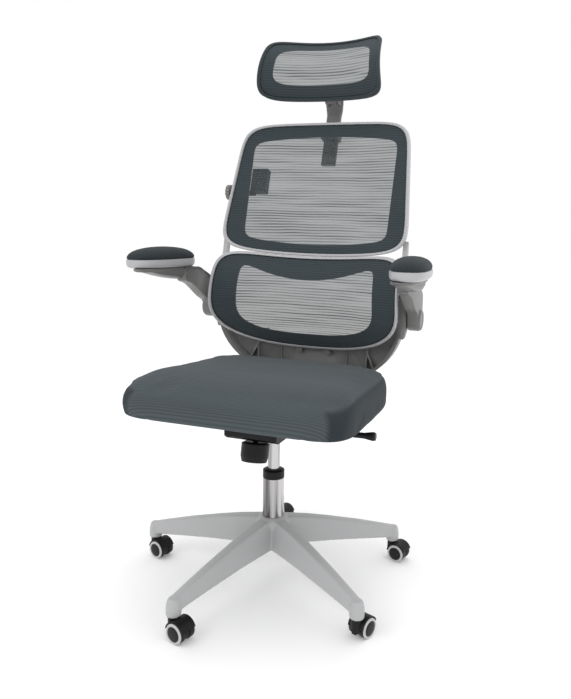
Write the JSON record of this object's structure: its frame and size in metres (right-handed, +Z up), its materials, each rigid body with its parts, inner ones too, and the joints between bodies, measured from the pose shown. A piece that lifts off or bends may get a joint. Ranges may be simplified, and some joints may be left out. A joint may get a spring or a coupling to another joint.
{
  "type": "office chair",
  "caption": "Swivel chair with a padded seat, a two-part mesh back, a mesh headrest and flip-up arms, on a gas lift and a star base with twin-wheel casters.",
  "frame": {"origin": "on the floor, on the axis of the gas lift", "axes": "+Z up, the sitter faces -Y, the sitter's left is +X"},
  "size_m": [0.7024, 0.7343, 1.3144],
  "materials": {
    "nylon_grey": "satin",
    "shell_grey": "satin",
    "rim_grey": "satin",
    "slate_fabric": "ribbed weave",
    "mesh_fabric": "open ribbed mesh",
    "black_plastic": "matte",
    "wheel_plastic": "semi-gloss with a grey ring",
    "chrome": "polished",
    "steel": "bright"
  },
  "bodies": {
    "base": {"star_base": "nylon_grey", "column_tube": "chrome", "column_collar": "black_plastic", "piston_rod": "steel", "rod_clip": "steel"},
    "caster_1": {"caster_1_hood": "black_plastic", "caster_1_pins": "steel"},
    "wheel_1_a": {"caster_1_wheel_a": "wheel_plastic"},
    "wheel_1_b": {"caster_1_wheel_b": "wheel_plastic"},
    "caster_2": {"caster_2_hood": "black_plastic", "caster_2_pins": "steel"},
    "wheel_2_a": {"caster_2_wheel_a": "wheel_plastic"},
    "wheel_2_b": {"caster_2_wheel_b": "wheel_plastic"},
    "caster_3": {"caster_3_hood": "black_plastic", "caster_3_pins": "steel"},
    "wheel_3_a": {"caster_3_wheel_a": "wheel_plastic"},
    "wheel_3_b": {"caster_3_wheel_b": "wheel_plastic"},
    "caster_4": {"caster_4_hood": "black_plastic", "caster_4_pins": "steel"},
    "wheel_4_a": {"caster_4_wheel_a": "wheel_plastic"},
    "wheel_4_b": {"caster_4_wheel_b": "wheel_plastic"},
    "caster_5": {"caster_5_hood": "black_plastic", "caster_5_pins": "steel"},
    "wheel_5_a": {"caster_5_wheel_a": "wheel_plastic"},
    "wheel_5_b": {"caster_5_wheel_b": "wheel_plastic"},
    "lift": {"gas_cylinder": "chrome"},
    "seat": {"mechanism_housing": "black_plastic", "tilt_spring": "steel", "recline_pin": "steel", "seat_bolts": "steel", "seat_pan": "black_plastic", "seat_cushion": "slate_fabric"},
    "tension_knob": {"tension_knob": "black_plastic"},
    "tilt_lock": {"lock_slider": "steel"},
    "lever": {"height_lever": "black_plastic"},
    "back": {"recline_arm": "shell_grey", "back_shell": "shell_grey", "shell_screws": "steel", "side_posts": "rim_grey", "upper_frame": "rim_grey", "upper_mesh": "mesh_fabric", "adjuster_housing": "black_plastic", "headrest_socket": "shell_grey", "arm_pins": "steel"},
    "adjuster_knob": {"adjuster_knob": "steel"},
    "lumbar": {"lumbar_frame": "rim_grey", "lumbar_mesh": "mesh_fabric", "lumbar_bracket": "shell_grey"},
    "stem": {"headrest_stem": "shell_grey", "headrest_pin": "steel"},
    "headrest": {"headrest_frame": "slate_fabric", "headrest_mesh": "mesh_fabric", "headrest_bracket": "shell_grey"},
    "arm_left": {"arm_beam_left": "shell_grey", "arm_pad_base_left": "rim_grey", "arm_pad_left": "slate_fabric"},
    "arm_right": {"arm_beam_right": "shell_grey", "arm_pad_base_right": "rim_grey", "arm_pad_right": "slate_fabric"}
  },
  "joints": [
    {"name": "caster_1_swivel", "type": "hinge", "parent": "base", "child": "caster_1", "pos_m": [-0.10945, 0.3007, 0.06], "axis": [0, 0, 1], "continuous": true},
    {"name": "wheel_1_a_roll", "type": "hinge", "parent": "caster_1", "child": "wheel_1_a", "pos_m": [-0.09022, 0.29519, 0.022], "axis": [0.2756, 0.9613, 0], "continuous": true},
    {"name": "wheel_1_b_roll", "type": "hinge", "parent": "caster_1", "child": "wheel_1_b", "pos_m": [-0.09022, 0.29519, 0.022], "axis": [0.2756, 0.9613, 0], "continuous": true},
    {"name": "caster_2_swivel", "type": "hinge", "parent": "base", "child": "caster_2", "pos_m": [-0.31981, -0.01117, 0.06], "axis": [0, 0, 1], "continuous": true},
    {"name": "wheel_2_a_roll", "type": "hinge", "parent": "caster_2", "child": "wheel_2_a", "pos_m": [-0.30058, -0.01668, 0.022], "axis": [0.2756, 0.9613, 0], "continuous": true},
    {"name": "wheel_2_b_roll", "type": "hinge", "parent": "caster_2", "child": "wheel_2_b", "pos_m": [-0.30058, -0.01668, 0.022], "axis": [0.2756, 0.9613, 0], "continuous": true},
    {"name": "caster_3_swivel", "type": "hinge", "parent": "base", "child": "caster_3", "pos_m": [-0.0882, -0.3076, 0.06], "axis": [0, 0, 1], "continuous": true},
    {"name": "wheel_3_a_roll", "type": "hinge", "parent": "caster_3", "child": "wheel_3_a", "pos_m": [-0.06898, -0.31312, 0.022], "axis": [0.2756, 0.9613, 0], "continuous": true},
    {"name": "wheel_3_b_roll", "type": "hinge", "parent": "caster_3", "child": "wheel_3_b", "pos_m": [-0.06898, -0.31312, 0.022], "axis": [0.2756, 0.9613, 0], "continuous": true},
    {"name": "caster_4_swivel", "type": "hinge", "parent": "base", "child": "caster_4", "pos_m": [0.26529, -0.17894, 0.06], "axis": [0, 0, 1], "continuous": true},
    {"name": "wheel_4_a_roll", "type": "hinge", "parent": "caster_4", "child": "wheel_4_a", "pos_m": [0.27246, -0.16027, 0.022], "axis": [-0.9336, 0.3584, 0], "continuous": true},
    {"name": "wheel_4_b_roll", "type": "hinge", "parent": "caster_4", "child": "wheel_4_b", "pos_m": [0.27246, -0.16027, 0.022], "axis": [-0.9336, 0.3584, 0], "continuous": true},
    {"name": "caster_5_swivel", "type": "hinge", "parent": "base", "child": "caster_5", "pos_m": [0.25216, 0.19701, 0.06], "axis": [0, 0, 1], "continuous": true},
    {"name": "wheel_5_a_roll", "type": "hinge", "parent": "caster_5", "child": "wheel_5_a", "pos_m": [0.27139, 0.1915, 0.022], "axis": [0.2756, 0.9613, 0], "continuous": true},
    {"name": "wheel_5_b_roll", "type": "hinge", "parent": "caster_5", "child": "wheel_5_b", "pos_m": [0.27139, 0.1915, 0.022], "axis": [0.2756, 0.9613, 0], "continuous": true},
    {"name": "height", "type": "slide", "parent": "base", "child": "lift", "axis": [0, 0, 1], "range_m": [-0.09, 0.005]},
    {"name": "seat_swivel", "type": "hinge", "parent": "lift", "child": "seat", "pos_m": [0, 0, 0.39], "axis": [0, 0, 1], "continuous": true},
    {"name": "tension", "type": "hinge", "parent": "seat", "child": "tension_knob", "pos_m": [0, -0.096, 0.406], "axis": [0, -0.2079, -0.9781], "range_deg": [-180, 180]},
    {"name": "tilt_lock", "type": "slide", "parent": "seat", "child": "tilt_lock", "axis": [1, 0, 0], "range_m": [-0.012, 0]},
    {"name": "height_lever", "type": "hinge", "parent": "tilt_lock", "child": "lever", "pos_m": [0.031, -0.05, 0.394], "axis": [0, -1, 0], "range_deg": [0, 4], "stiffness_Nm_per_rad": 6, "springref_deg": -5.73},
    {"name": "recline", "type": "hinge", "parent": "seat", "child": "back", "pos_m": [0, 0.07, 0.392], "axis": [-1, 0, 0], "range_deg": [0, 22], "stiffness_Nm_per_rad": 60, "springref_deg": -28.65},
    {"name": "adjuster", "type": "hinge", "parent": "back", "child": "adjuster_knob", "pos_m": [-0.25, 0.268, 0.926], "axis": [1, 0, 0], "range_deg": [-90, 90]},
    {"name": "lumbar_height", "type": "slide", "parent": "back", "child": "lumbar", "axis": [0, 0, 1], "range_m": [-0.025, 0]},
    {"name": "headrest_height", "type": "slide", "parent": "back", "child": "stem", "axis": [0, 0.2924, 0.9563], "range_m": [0, 0.04]},
    {"name": "headrest_tilt", "type": "hinge", "parent": "stem", "child": "headrest", "pos_m": [0, 0.37, 1.172], "axis": [1, 0, 0], "range_deg": [-20, 20]},
    {"name": "arm_left_flip", "type": "hinge", "parent": "back", "child": "arm_left", "pos_m": [0.278, 0.216, 0.621], "axis": [-1, 0, 0], "range_deg": [0, 90]},
    {"name": "arm_right_flip", "type": "hinge", "parent": "back", "child": "arm_right", "pos_m": [-0.278, 0.216, 0.621], "axis": [-1, 0, 0], "range_deg": [0, 90]}
  ]
}
